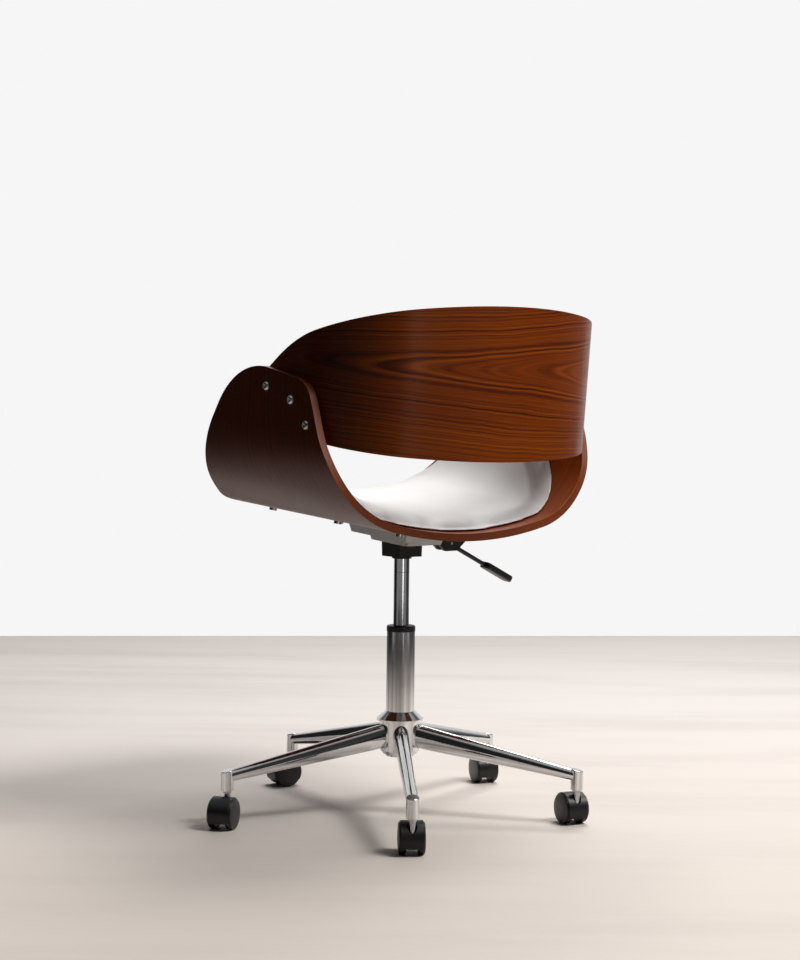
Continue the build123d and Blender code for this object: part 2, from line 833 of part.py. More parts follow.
with BuildPart() as swivel_plate:
    with BuildSketch(seat_plane.offset(-plate_flange)):
        with Locations((0, plate_middle)):
            RectangleRounded(2 * plate_half_width, plate_length, plate_corner)
    extrude(amount=2 * plate_flange)
    with BuildSketch(seat_section):
        with Locations((0, sole_radius)):
            Circle(seat_underside + plate_wall)
            Circle(seat_underside, mode=Mode.SUBTRACT)
    extrude(amount=plate_length, both=True, mode=Mode.INTERSECT)
    with BuildSketch(seat_plane.offset(2 * plate_wall)):
        with Locations((0, plate_middle)):
            RectangleRounded(tray_width, tray_length, plate_corner)
    extrude(amount=-2 * plate_wall - plate_shelf_depth, taper=plate_draft)
    with BuildSketch(seat_plane.offset(-plate_shelf_depth)):
        with Locations((0, pan_middle)):
            RectangleRounded(pan_width, pan_length, plate_corner)
    extrude(amount=plate_shelf_depth - plate_depth, taper=plate_draft)
    with BuildSketch(seat_plane.offset(2 * plate_wall)):
        with Locations((0, plate_middle)):
            RectangleRounded(tray_width - 2 * plate_wall, tray_length - 2 * plate_wall, plate_corner)
    extrude(amount=-plate_wall - plate_shelf_depth, taper=plate_draft, mode=Mode.SUBTRACT)
    with BuildSketch(seat_plane.offset(plate_wall - plate_shelf_depth)):
        with Locations((0, pan_middle)):
            RectangleRounded(pan_width - 2 * plate_wall, pan_length - 2 * plate_wall, plate_corner)
    extrude(amount=plate_shelf_depth - plate_depth, taper=plate_draft, mode=Mode.SUBTRACT)
    with BuildSketch(seat_section):
        with Locations((0, sole_radius)):
            Circle(seat_underside)
    extrude(amount=plate_length, both=True, mode=Mode.SUBTRACT)
    with BuildSketch(Plane.XY.offset(plate_floor)):
        Circle(lift_radius + press_gap)
    extrude(amount=plate_depth / 2, both=True, mode=Mode.SUBTRACT)
    with BuildSketch(seat_section):
        with Locations((-plate_half_width, -plate_wall)):
            Rectangle(plate_half_width - pan_width / 4, lever_slot_drop, align=(Align.MIN, Align.MAX))
    extrude(amount=bracket_slot / 2, both=True, mode=Mode.SUBTRACT)
    with BuildSketch(*plate_bolt_planes):
        Circle(plate_bolt_radius + free_gap)
    extrude(amount=-2 * plate_wall, mode=Mode.SUBTRACT)
save(swivel_plate, "swivel_plate")

with BuildPart() as plate_bolts:
    with BuildSketch(*[plane.offset(-plate_wall - touch_gap) for plane in plate_bolt_planes]):
        Circle(plate_bolt_head_radius)
    extrude(amount=-plate_bolt_head_height)
    with BuildSketch(*[plane.offset(-plate_wall - touch_gap) for plane in plate_bolt_planes]):
        Circle(plate_bolt_radius)
    extrude(amount=plate_wall + touch_gap + plate_bolt_depth)
save(plate_bolts, "plate_bolts")

# Socket under the plate that grips the lift
lift_ring_radius = lift_radius + lift_ring_wall

with BuildPart() as lift_socket:
    with BuildSketch(Plane.XY.offset(lift_socket_bottom)):
        RectangleRounded(lift_socket_width, lift_socket_width, lift_socket_corner)
    extrude(amount=lift_socket_height + plate_depth, taper=-lift_socket_draft)
    split(bisect_by=seat_plane.offset(-plate_depth - touch_gap), keep=Keep.BOTTOM)
    with BuildSketch(Plane.XY.offset(lift_socket_bottom)):
        Circle(lift_ring_radius)
    extrude(amount=-lift_ring_height)
    with BuildSketch(Plane.XY.offset(lift_socket_bottom)):
        Circle(lift_radius + press_gap)
    extrude(amount=2 * lift_socket_height, both=True, mode=Mode.SUBTRACT)
save(lift_socket, "lift_socket")

# Lever with its fork, pin and paddle, in the seat's own section
lever_slope = tan(radians(lever_fall))
pivot_drop = lever_drop + (lever_pivot - lever_knee) * lever_slope
paddle_drop = lever_drop + (lever_reach - lever_knee) * lever_slope
bracket_start = plate_half_width - plate_flange + free_gap
bracket_top = bracket_start**2 / (2 * sole_radius) - plate_wall - 2 * touch_gap
bracket_foot = -pivot_drop - bracket_nose
bracket_middle = (bracket_start + bracket_reach) / 2
bridge_start = bracket_reach - bracket_bridge_length

with BuildPart() as lever_bracket:
    with BuildSketch(seat_section):
        with BuildLine():
            FilletPolyline(
                (-bracket_start, bracket_top),
                (-bracket_reach, bracket_top),
                (-bracket_reach, bracket_top - bracket_tail_height),
                (-lever_pivot - bracket_nose, bracket_foot),
                (-lever_pivot + bracket_nose, bracket_foot),
                (-bracket_start, bracket_top - bracket_root_height),
                radius=bracket_corner,
                close=True,
            )
        make_face()
    extrude(amount=bracket_width / 2, both=True)
    with BuildSketch(seat_section):
        with Locations((-bracket_middle, bracket_top - bracket_bridge)):
            Rectangle(bracket_reach, 2 * pivot_drop, align=(Align.CENTER, Align.MAX))
        with Locations((-bridge_start, bracket_top + overrun)):
            Rectangle(bracket_reach, 2 * overrun, align=(Align.MIN, Align.MAX))
    extrude(amount=bracket_slot / 2, both=True, mode=Mode.SUBTRACT)
    with BuildSketch(seat_section):
        with Locations((-lever_pivot, -pivot_drop)):
            Circle(lever_pin_radius + press_gap)
    extrude(amount=bracket_width, both=True, mode=Mode.SUBTRACT)
save(lever_bracket, "lever_bracket")

with BuildPart() as lever_pin:
    with BuildSketch(seat_section):
        with Locations((-lever_pivot, -pivot_drop)):
            Circle(lever_pin_radius)
    extrude(amount=bracket_width / 2 + free_gap, both=True)
save(lever_pin, "lever_pin")

grip_run = paddle_grip * cos(radians(lever_fall))
grip_fall = paddle_grip * sin(radians(lever_fall))

with BuildPart() as lever:
    with BuildLine(seat_section) as lever_path:
        FilletPolyline(
            (lever_overhang, -lever_drop),
            (-lever_knee, -lever_drop),
            (-lever_reach - grip_run, -paddle_drop - grip_fall),
            radius=lever_knee_radius,
        )
    with BuildSketch(lever_path.line ^ 0):
        Circle(lever_radius)
    sweep()
    with BuildSketch(seat_section):
        with Locations((-lever_pivot, -pivot_drop)):
            Circle(lever_boss_radius)
    extrude(amount=lever_boss_width / 2, both=True)
    with BuildSketch(seat_section):
        with Locations((-lever_pivot, -pivot_drop)):
            Circle(lever_pin_radius + running_gap)
    extrude(amount=lever_boss_width, both=True, mode=Mode.SUBTRACT)
save(lever, "lever")

paddle_root = seat_section.location * Location((-lever_reach, -paddle_drop, 0), (0, 0, 180 + lever_fall))
paddle_plane = Plane(paddle_root * Location((0, 0, 0), (90, 0, 0)))

with BuildPart() as lever_paddle:
    with BuildSketch(paddle_plane):
        with Locations((paddle_length / 2, 0)):
            RectangleRounded(paddle_length, paddle_width, paddle_corner)
    extrude(amount=paddle_thickness / 2, both=True)
    fillet(lever_paddle.faces().filter_by(paddle_plane).edges(), paddle_arris)
    with BuildSketch(Plane(paddle_plane.origin, z_dir=paddle_plane.x_dir)):
        Circle(lever_radius + press_gap)
    extrude(amount=paddle_grip + free_gap, mode=Mode.SUBTRACT)
save(lever_paddle, "lever_paddle")
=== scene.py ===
from math import acos, asin, atan2, cos, hypot, pi, radians, sin, tan

import bmesh
import bpy
from mathutils import Matrix, Vector


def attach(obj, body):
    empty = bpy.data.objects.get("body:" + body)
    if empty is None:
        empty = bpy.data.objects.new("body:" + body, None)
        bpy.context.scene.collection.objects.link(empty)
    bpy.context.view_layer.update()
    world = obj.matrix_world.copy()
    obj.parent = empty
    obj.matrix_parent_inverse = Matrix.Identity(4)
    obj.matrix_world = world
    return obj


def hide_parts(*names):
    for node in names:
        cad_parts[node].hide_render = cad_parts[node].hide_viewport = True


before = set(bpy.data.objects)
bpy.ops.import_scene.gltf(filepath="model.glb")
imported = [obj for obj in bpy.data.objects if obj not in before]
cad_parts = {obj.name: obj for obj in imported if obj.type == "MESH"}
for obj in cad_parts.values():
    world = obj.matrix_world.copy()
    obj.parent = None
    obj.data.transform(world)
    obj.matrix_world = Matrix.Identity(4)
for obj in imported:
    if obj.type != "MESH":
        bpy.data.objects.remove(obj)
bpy.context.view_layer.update()  # metres, in the frame of the solids
scene = bpy.context.scene
scene.view_settings.view_transform = "Standard"
print("frame loaded,", len(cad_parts), "nodes")


# Nodes and finishes

def rgb(red, green, blue):  # 0 to 255 as on a screen
    def straight(level):
        level /= 255
        return level / 12.92 if level <= 0.04045 else ((level + 0.055) / 1.055) ** 2.4
    return (straight(red), straight(green), straight(blue), 1.0)


class Wire:  # one socket, so that sums on it add Math nodes
    def __init__(self, finish, socket):
        self.finish = finish
        self.socket = socket

    def maths(self, operation, first, second=0.0):
        return self.finish.add("ShaderNodeMath", {"operation": operation}, {0: first, 1: second})

    def out(self, name):  # another socket of the same node
        return Wire(self.finish, self.socket.node.outputs[name])

    def size(self):
        return self.maths("ABSOLUTE", self)

    def whole(self):
        return self.maths("FLOOR", self)

    def __add__(self, other):
        return self.maths("ADD", self, other)

    def __radd__(self, other):
        return self.maths("ADD", other, self)

    def __sub__(self, other):
        return self.maths("SUBTRACT", self, other)

    def __rsub__(self, other):
        return self.maths("SUBTRACT", other, self)

    def __mul__(self, other):
        return self.maths("MULTIPLY", self, other)

    def __rmul__(self, other):
        return self.maths("MULTIPLY", other, self)

    def __truediv__(self, other):
        return self.maths("DIVIDE", self, other)

    def __rtruediv__(self, other):
        return self.maths("DIVIDE", other, self)

    def __pow__(self, other):
        return self.maths("POWER", self, other)

    def __rpow__(self, other):
        return self.maths("POWER", other, self)


class Finish:  # a node tree, filled one node at a time
    def __init__(self, tree):
        self.tree = tree
        tree.nodes.clear()

    def add(self, kind, settings=None, sockets=None, out=0):
        node = self.tree.nodes.new(kind)
        for name, value in (settings or {}).items():
            if name == "stops":
                stops = node.color_ramp.elements
                stops.remove(stops[1])
                stops[0].position = value[0][0]
                stops[0].color = value[0][1]
                for place, tint in value[1:]:
                    stops.new(place).color = tint
            else:
                setattr(node, name, value)
        for name, value in (sockets or {}).items():
            if isinstance(value, Wire):
                self.tree.links.new(value.socket, node.inputs[name])
            else:
                node.inputs[name].default_value = value
        return Wire(self, node.outputs[out] if node.outputs else None)

    def scaled(self, place, scale):
        return self.add("ShaderNodeVectorMath", {"operation": "MULTIPLY"}, {0: place, 1: scale})

    def along(self, place, direction):  # how far a place or a ray reaches one way
        return self.add("ShaderNodeVectorMath", {"operation": "DOT_PRODUCT"},
                        {0: place, 1: tuple(direction)}, "Value")

    def sight(self):  # what the camera sees, and what shows in reflections or through glass
        rays = self.add("ShaderNodeLightPath")
        return rays, rays.out("Is Glossy Ray") + rays.out("Is Transmission Ray")

    def noise(self, place, scale, detail=2.0, rough=0.5):
        return self.add("ShaderNodeTexNoise", None,
                        {"Vector": place, "Scale": scale, "Detail": detail, "Roughness": rough})

    def lineNoise(self, value):
        return self.add("ShaderNodeTexNoise", {"noise_dimensions": "1D"},
                        {"W": value, "Scale": 1.0, "Detail": 1.0})

    def step(self, value, low, high, start=0.0, end=1.0):  # soft step
        return self.add("ShaderNodeMapRange", {"interpolation_type": "SMOOTHSTEP"},
                        {"Value": value, "From Min": low, "From Max": high, "To Min": start, "To Max": end})

    def mixed(self, mask, first, second):
        return self.add("ShaderNodeMix", {"data_type": "RGBA"}, {0: mask, 6: first, 7: second}, 2)

    def ramp(self, value, *stops):
        return self.add("ShaderNodeValToRGB", {"stops": stops}, {0: value})

    def bump(self, height, strength, distance):
        return self.add("ShaderNodeBump", None,
                        {"Height": height, "Strength": strength, "Distance": distance})

    def skin(self, sockets):
        surface = self.add("ShaderNodeBsdfPrincipled", None, sockets)
        self.add("ShaderNodeOutputMaterial", None, {"Surface": surface})


def newFinish(name):
    material = bpy.data.materials.new(name)
    material.use_nodes = True
    return material, Finish(material.node_tree)


# Walnut veneer, laid out on the unrolled panel: X along the bend, Y across, Z depth.
# The rings are those of a tapering trunk sliced flat, so they meet in points along its heart
walnut = {
    "taper": 0.062, "slice": 0.024, "wander": 0.030, "waver": 0.004, "rings": 118.0, "lines": 330.0,
    "sway": (2.2, 5.0, 0.0), "ripple": (14.0, 34.0, 0.0), "thread": (7.0, 620.0, 0.0),
    "cloud": (2.5, 6.0, 0.0), "pace": (0.45, 2.0), "late": (0.60, 0.94), "lineStart": 7.0,
    "depth": {"line": 0.54, "late": 0.28, "thread": 0.26, "cloud": 0.34}, "mean": 0.62,
    "tones": ((0.12, rgb(42, 12, 1)), (0.40, rgb(94, 33, 2)), (0.62, rgb(142, 60, 4)),
              (0.88, rgb(184, 90, 12))),
    "pore": (26.0, 1500.0, 0.0), "poreStep": (0.62, 0.74), "poreMost": 0.45, "poreTone": rgb(40, 15, 5),
    "gloss": 0.34, "threadGloss": 0.10, "poreGloss": 0.12, "coat": 0.04, "shine": 0.32,
    "threadRelief": 0.15, "relief": (0.10, 0.0003),
}


def walnutFinish(name, heart, contrast):
    material, f = newFinish(name)
    panel = f.add("ShaderNodeAttribute", {"attribute_name": "panel"}, None, "Vector")
    x = f.add("ShaderNodeSeparateXYZ", None, {0: panel})
    sway, ripple, thread, cloud = (f.noise(f.scaled(panel, walnut[kind]), 1.0)
                                   for kind in ("sway", "ripple", "thread", "cloud"))
    across = x.out("Y") - heart[1] + (sway - 0.5) * walnut["wander"] + (ripple - 0.5) * walnut["waver"]
    trunk = (across * across + walnut["slice"] ** 2) ** 0.5 + (x - heart[0]) * walnut["taper"]
    age = trunk * walnut["rings"]
    age = age + (f.lineNoise(age * walnut["pace"][0]) - 0.5) * walnut["pace"][1]
    ring = age.whole()
    part = age - ring
    strength = f.add("ShaderNodeTexWhiteNoise", {"noise_dimensions": "1D"}, {"W": ring})
    start, end = walnut["late"]  # dark at a ring's outer edge
    late = f.step(part, start, end) * f.step(part, end, 1.0, 1.0, 0.0)
    line = f.lineNoise(trunk * walnut["lines"] + walnut["lineStart"])
    pore = f.step(f.noise(f.scaled(panel, walnut["pore"]), 1.0, 1.0), *walnut["poreStep"])
    depth = walnut["depth"]
    tone = (line - 0.5) * depth["line"] - late * strength * strength * depth["late"]
    tone = tone + (thread - 0.5) * depth["thread"] + (cloud - 0.5) * depth["cloud"]
    wood = f.ramp(tone * contrast + walnut["mean"], *walnut["tones"])
    wood = f.mixed(pore * walnut["poreMost"], wood, walnut["poreTone"])
    rough = walnut["gloss"] + (thread - 0.5) * walnut["threadGloss"] + pore * walnut["poreGloss"]
    f.skin({"Base Color": wood, "Roughness": rough, "Coat Weight": walnut["coat"], "Coat Roughness": 0.22,
            "Specular IOR Level": walnut["shine"],
            "Normal": f.bump(pore * -1.0 + thread * walnut["threadRelief"], *walnut["relief"])})
    return material


# Cut edge of the plywood: sheets turned crosswise by turns, with a dark glue line between
ply = {
    "sheets": 9.0, "waver": 0.25, "glueLine": (0.40, 0.48),
    "wave": (9.0, 9.0, 60.0), "speck": (420.0, 420.0, 1600.0), "fibre": (30.0, 30.0, 1700.0),
    "longTones": ((0.35, rgb(124, 50, 6)), (0.65, rgb(168, 78, 14))),
    "endTones": ((0.35, rgb(96, 36, 5)), (0.65, rgb(146, 62, 11))),
    "glueTone": rgb(34, 13, 6), "glueMost": 0.55, "gloss": 0.36, "speckGloss": 0.15, "relief": (0.10, 0.0003),
}


def plyFinish(name, thickness):
    material, f = newFinish(name)
    panel = f.add("ShaderNodeAttribute", {"attribute_name": "panel"}, None, "Vector")
    x = f.add("ShaderNodeSeparateXYZ", None, {0: panel})
    wave, speck, fibre = (f.noise(f.scaled(panel, ply[kind]), 1.0) for kind in ("wave", "speck", "fibre"))
    depth = x.out("Z") / thickness * ply["sheets"] + (wave - 0.5) * ply["waver"]
    sheet = depth.whole()
    odd = sheet.maths("MODULO", sheet, 2.0)
    seam = f.step((depth - sheet - 0.5).size(), *ply["glueLine"])
    grain = f.mixed(odd, f.ramp(fibre, *ply["longTones"]), f.ramp(speck, *ply["endTones"]))
    grain = f.mixed(seam * ply["glueMost"], grain, ply["glueTone"])
    f.skin({"Base Color": grain, "Roughness": ply["gloss"] + (speck - 0.5) * ply["speckGloss"],
            "Coat Weight": 0.2, "Coat Roughness": 0.18, "Normal": f.bump(speck - seam, *ply["relief"])})
    return material


leather = {
    "grain": 520.0, "crease": 26.0, "cloud": 7.0, "wobble": 90.0, "shift": (0.004, 0.004, 0.004),
    "tones": ((0.3, rgb(240, 237, 234)), (0.7, rgb(248, 247, 246))),
    # the valley tone is painted shade in the recesses between the pebbles
    "pebble": (0.0, 0.22), "valleyShadeTone": rgb(214, 208, 203), "valleyShadeMost": 0.22,
    "gloss": 0.44, "valleyGloss": 0.14, "creaseGloss": 0.12,
    "pebbleRelief": 0.5, "creaseRelief": 1.4, "relief": (0.20, 0.0007),
}


def leatherFinish(name):
    material, f = newFinish(name)
    place = f.add("ShaderNodeTexCoord", None, None, "Object")
    wobble = f.noise(place, leather["wobble"]).out("Color")
    wobble = f.add("ShaderNodeVectorMath", {"operation": "MULTIPLY_ADD"},
                   {0: wobble, 1: leather["shift"], 2: place})
    cell = f.add("ShaderNodeTexVoronoi", {"feature": "DISTANCE_TO_EDGE"},
                 {"Vector": wobble, "Scale": leather["grain"]})
    pebble = f.step(cell, *leather["pebble"])
    valley = 1.0 - pebble
    crease = f.noise(place, leather["crease"], 4.0, 0.6)
    hide = f.ramp(f.noise(place, leather["cloud"], 3.0), *leather["tones"])
    # the valleys between the pebbles are painted darker: painted shade in the grain's recesses
    hide = f.mixed(valley * leather["valleyShadeMost"], hide, leather["valleyShadeTone"])
    rough = leather["gloss"] + valley * leather["valleyGloss"] + (crease - 0.5) * leather["creaseGloss"]
    relief = pebble * leather["pebbleRelief"] + crease * leather["creaseRelief"]
    f.skin({"Base Color": hide, "Roughness": rough, "Coat Weight": 0.05, "Coat Roughness": 0.3,
            "Normal": f.bump(relief, *leather["relief"])})
    return material


metal = {
    "smear": 22.0, "smearGloss": 0.9, "scratch": 40.0, "relief": 0.02, "brushRelief": 0.4, "height": 0.0002,
    "ring": (0.0002, 0.0007), "ringMost": 0.75, "ringTone": rgb(30, 30, 31),
}


def metalFinish(name, dull, bright, rough, brushed=0.0, lines=900.0, seam=None):
    material, f = newFinish(name)
    place = f.add("ShaderNodeTexCoord", None, None, "Object")
    smear = f.noise(place, metal["smear"], 4.0, 0.6)
    scratch = f.noise(f.scaled(place, (metal["scratch"], metal["scratch"], lines)), 1.0)
    shade = f.ramp(smear, (0.3, dull), (0.7, bright))
    if seam:  # a thin dark ring at one height
        height = f.add("ShaderNodeSeparateXYZ", None, {0: place}).out("Z") - seam
        ring = f.step(height.size(), *metal["ring"], metal["ringMost"], 0.0)
        shade = f.mixed(ring, shade, metal["ringTone"])
    f.skin({"Base Color": shade, "Metallic": 1.0,
            "Roughness": rough + (smear - 0.5) * rough * metal["smearGloss"] + (scratch - 0.5) * brushed,
            "Normal": f.bump(scratch, metal["relief"] + brushed * metal["brushRelief"], metal["height"])})
    return material


black = {"dust": 34.0, "dustStep": (0.45, 0.75), "dustGloss": 0.18, "speckGloss": 0.10, "relief": 0.16}


def blackFinish(name, deep, worn, rough, texture, height):
    material, f = newFinish(name)
    place = f.add("ShaderNodeTexCoord", None, None, "Object")
    speck = f.noise(place, texture)
    dust = f.noise(place, black["dust"], 4.0, 0.65)
    shade = f.mixed(f.step(dust, *black["dustStep"]), deep, worn)
    rough = rough + (dust - 0.5) * black["dustGloss"] + (speck - 0.5) * black["speckGloss"]
    f.skin({"Base Color": shade, "Roughness": rough, "Normal": f.bump(speck, black["relief"], height)})
    return material


finishes = {
    "chrome": metalFinish("polishedTube", (0.66, 0.66, 0.67, 1), (0.76, 0.76, 0.77, 1), 0.10),
    "base_alloy": metalFinish("polishedCasting", (0.70, 0.70, 0.71, 1), (0.82, 0.82, 0.83, 1), 0.07),
    "caster_steel": metalFinish("platedStem", (0.46, 0.46, 0.47, 1), (0.62, 0.62, 0.62, 1), 0.24, 0.10),
    "steel": metalFinish("zincScrew", (0.52, 0.51, 0.50, 1), (0.72, 0.71, 0.70, 1), 0.26, 0.08),
    "lift_steel": metalFinish("groundCylinder", (0.40, 0.40, 0.40, 1), (0.56, 0.56, 0.56, 1), 0.11, 0.05,
                              2600.0, 0.434),
    "plate_metal": metalFinish("satinPlate", (0.24, 0.24, 0.24, 1), (0.33, 0.33, 0.33, 1), 0.36, 0.06,
                               40.0),
    "black_plastic": blackFinish("mouldedBlack", rgb(17, 17, 18), rgb(27, 27, 28), 0.40, 1500.0, 0.0002),
    "caster_plastic": blackFinish("wheelBlack", rgb(20, 20, 21), rgb(33, 32, 32), 0.34, 900.0, 0.0002),
    "black_metal": blackFinish("powderCoat", rgb(22, 22, 23), rgb(34, 33, 33), 0.46, 2200.0, 0.0003),
}
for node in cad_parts.values():
    slotName = node.material_slots[0].material.name
    if slotName in finishes:
        node.material_slots[0].material = finishes[slotName]
print("finishes on the solids")


# Bent panels: a middle arc, a corner arc and a straight run, the same on both sides

class BentPanel:
    def __init__(self, half, middle, corner, origin, rise, across):
        self.half = half
        self.middle = middle
        self.corner = corner
        self.origin = Vector(origin)
        self.rise = Vector(rise)
        self.across = Vector(across)
        self.swing = asin((half - corner) / (middle - corner))
        self.level = middle - (middle - corner) * cos(self.swing)
        self.bent = middle * self.swing + corner * (pi / 2 - self.swing)

    def run(self, rise, depth):  # run along the bend at a given rise
        if rise <= self.middle - (self.middle - depth) * cos(self.swing):
            return self.middle * acos(min(1.0, (self.middle - rise) / (self.middle - depth)))
        if rise <= self.level:
            turn = acos((self.level - rise) / (self.corner - depth))
            return self.middle * self.swing + self.corner * (turn - self.swing)
        return self.bent + rise - self.level

    def bend(self, run, across, depth):  # flat to bent
        side = -1.0 if run < 0 else 1.0
        run = abs(run)
        if run <= self.middle * self.swing:
            turn = run / self.middle
            wide = (self.middle - depth) * sin(turn)
            rise = self.middle - (self.middle - depth) * cos(turn)
        elif run <= self.bent:
            turn = self.swing + (run - self.middle * self.swing) / self.corner
            wide = self.half - self.corner + (self.corner - depth) * sin(turn)
            rise = self.level - (self.corner - depth) * cos(turn)
        else:
            wide = self.half - depth
            rise = self.level + run - self.bent
        return self.origin + Vector((side * wide, 0, 0)) + rise * self.rise + across * self.across

    def flat(self, point):  # bent to flat: run, across, depth
        offset = point - self.origin
        side = -1.0 if offset.x < 0 else 1.0
        wide = abs(offset.x)
        rise = offset.dot(self.rise)
        across = offset.dot(self.across)
        turn = atan2(wide, self.middle - rise)
        if 0 <= turn <= self.swing:
            run = self.middle * turn
            depth = self.middle - hypot(wide, self.middle - rise)
        elif rise <= self.level:
            turn = atan2(wide - self.half + self.corner, self.level - rise)
            run = self.middle * self.swing + self.corner * (turn - self.swing)
            depth = self.corner - hypot(wide - self.half + self.corner, self.level - rise)
        else:
            run = self.bent + rise - self.level
            depth = self.half - wide
        return Vector((side * run, across, depth))


cuts = {"line": 100, "arc": 48}


def roundedOutline(corners, radii):  # points along an outline, and where each arc starts and ends
    points = []
    arcs = []
    start = Vector(corners[0])
    for before, corner, after, radius in zip(corners, corners[1:], corners[2:], radii):
        corner = Vector(corner)
        back = (Vector(before) - corner).normalized()
        ahead = (Vector(after) - corner).normalized()
        half = back.angle(ahead) / 2
        centre = corner + (back + ahead).normalized() * radius / sin(half)
        first = corner + back * radius / tan(half)
        last = corner + ahead * radius / tan(half)
        points += [start.lerp(first, share / cuts["line"]) for share in range(cuts["line"])]
        arcs.append((len(points), len(points) + cuts["arc"]))
        points += [centre + (first - centre).slerp(last - centre, share / cuts["arc"]) * radius
                   for share in range(cuts["arc"] + 1)]
        start = last
    points += [start.lerp(Vector(corners[-1]), share / cuts["line"]) for share in range(1, cuts["line"] + 1)]
    return points, arcs


def spaced(line, count):  # a line cut into equal lengths
    lengths = [0.0]
    for first, second in zip(line, line[1:]):
        lengths.append(lengths[-1] + (second - first).length)
    marks = []
    place = 0
    for number in range(count + 1):
        goal = lengths[-1] * number / count
        while place < len(line) - 2 and lengths[place + 1] < goal:
            place += 1
        gap = lengths[place + 1] - lengths[place]
        marks.append(line[place].lerp(line[place + 1], (goal - lengths[place]) / gap if gap else 0.0))
    return marks


def flatSides(panel, outline, ends, depth, runs, rows):
    # the outline on the flat panel at one depth: far side, near side, and the end between them
    flat = []
    marks = {}
    for number, (across, rise) in enumerate(outline):
        if rise >= depth:
            if not flat:
                last = outline[number - 1]
                share = (depth - last[1]) / (rise - last[1])
                flat.append(Vector((0.0, last[0] + (across - last[0]) * share)))
            if number in ends:
                marks[number] = len(flat)
            flat.append(Vector((panel.run(rise, depth), across)))
        elif flat:
            last = outline[number - 1]
            share = (last[1] - depth) / (last[1] - rise)
            flat.append(Vector((0.0, last[0] + (across - last[0]) * share)))
            break
    first, second = (marks[number] for number in ends)
    far = spaced(flat[:first + 1], runs)
    end = spaced(flat[first:second + 1], rows)
    near = spaced(flat[second:][::-1], runs)
    return far, end, near


def bentSheet(name, panel, look, faces):
    outline, arcs = roundedOutline(look["corners"], look["radii"])
    ends = look["ends"](arcs)
    runs, rows, thick = look["runs"], look["rows"], look["thickness"]
    sides = [flatSides(panel, outline, ends, depth, runs, rows) for depth in (0.0, thick)]
    bm = bmesh.new()
    bmesh.ops.create_grid(bm, x_segments=2 * runs, y_segments=rows, size=1.0)
    shell = bmesh.ops.extrude_face_region(bm, geom=bm.faces[:], use_keep_orig=True)["geom"]
    inside = {item for item in shell if isinstance(item, bmesh.types.BMVert)}
    for face in bm.faces:
        layers = {vert in inside for vert in face.verts}
        face.material_index = 1 if len(layers) == 2 else 0
    arris = [edge for edge in bm.edges if len({face.material_index for face in edge.link_faces}) == 2]
    for vert in bm.verts:
        far, end, near = sides[1 if vert in inside else 0]
        u, v = abs(vert.co.x), (vert.co.y + 1) / 2
        i, j = round(u * runs), round(v * rows)
        mid = near[0].lerp(far[0], v)
        corners = near[0].lerp(near[-1], u).lerp(far[0].lerp(far[-1], u), v)
        spot = near[i].lerp(far[i], v) + mid.lerp(end[rows - j], u) - corners
        side = -1.0 if vert.co.x < 0 else 1.0
        vert.co = panel.bend(side * spot.x, spot.y, thick if vert in inside else 0.0)
    bmesh.ops.recalc_face_normals(bm, faces=bm.faces[:])
    bmesh.ops.bevel(bm, geom=arris, offset=look["arris"], offset_type="OFFSET", segments=3, profile=0.5,
                    affect="EDGES", clamp_overlap=True, material=-1)
    return newPiece(bm, name, "seat", look["stands"], faces)


def newPiece(bm, name, body, stands, faces):
    mesh = bpy.data.meshes.new(name)
    bm.to_mesh(mesh)
    bm.free()
    mesh.shade_smooth()
    for face in faces:
        mesh.materials.append(face)
    piece = bpy.data.objects.new(name, mesh)
    scene.collection.objects.link(piece)
    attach(piece, body)
    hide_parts(*stands)
    return piece


def layOut(piece, panel):  # each point's place on the flat panel, for the grain
    places = piece.data.attributes.new("panel", "FLOAT_VECTOR", "POINT")
    for number, vert in enumerate(piece.data.vertices):
        places.data[number].vector = panel.flat(vert.co)
    even = piece.modifiers.new("evenNormals", "WEIGHTED_NORMAL")
    even.weight = 100
    even.keep_sharp = False


# Seat, bent up into both arms. Corners are (back, up) from the middle of the sole
seatLook = {
    "rake": 3.8, "sole": 0.514, "thickness": 0.013, "arris": 0.002, "runs": 72, "rows": 52,
    "half": 0.297, "middle": 0.725, "corner": 0.171, "heart": (0.10, -0.03), "contrast": 0.45,
    "corners": [(0.20278, -0.030), (0.170, 0.115), (0.109, 0.261), (-0.104, 0.291), (-0.261, 0.046),
                (-0.314, 0.014), (-0.314, -0.030)],
    "radii": [0.320, 0.055, 0.155, 0.090, 0.018],
    "ends": lambda arcs: (sum(arcs[1]) // 2, sum(arcs[2]) // 2),
    "stands": ["seat_shell"],
}
rake = radians(seatLook["rake"])
seatBend = BentPanel(seatLook["half"], seatLook["middle"], seatLook["corner"], (0, 0, seatLook["sole"]),
                     (0, sin(rake), cos(rake)), (0, cos(rake), -sin(rake)))
seatFaces = [walnutFinish("walnutSeat", seatLook["heart"], seatLook["contrast"]),
             plyFinish("seatPly", seatLook["thickness"])]
seatPanel = bentSheet("seatPanel", seatBend, seatLook, seatFaces)
layOut(seatPanel, seatBend)
print("seat panel,", len(seatPanel.data.polygons), "faces")

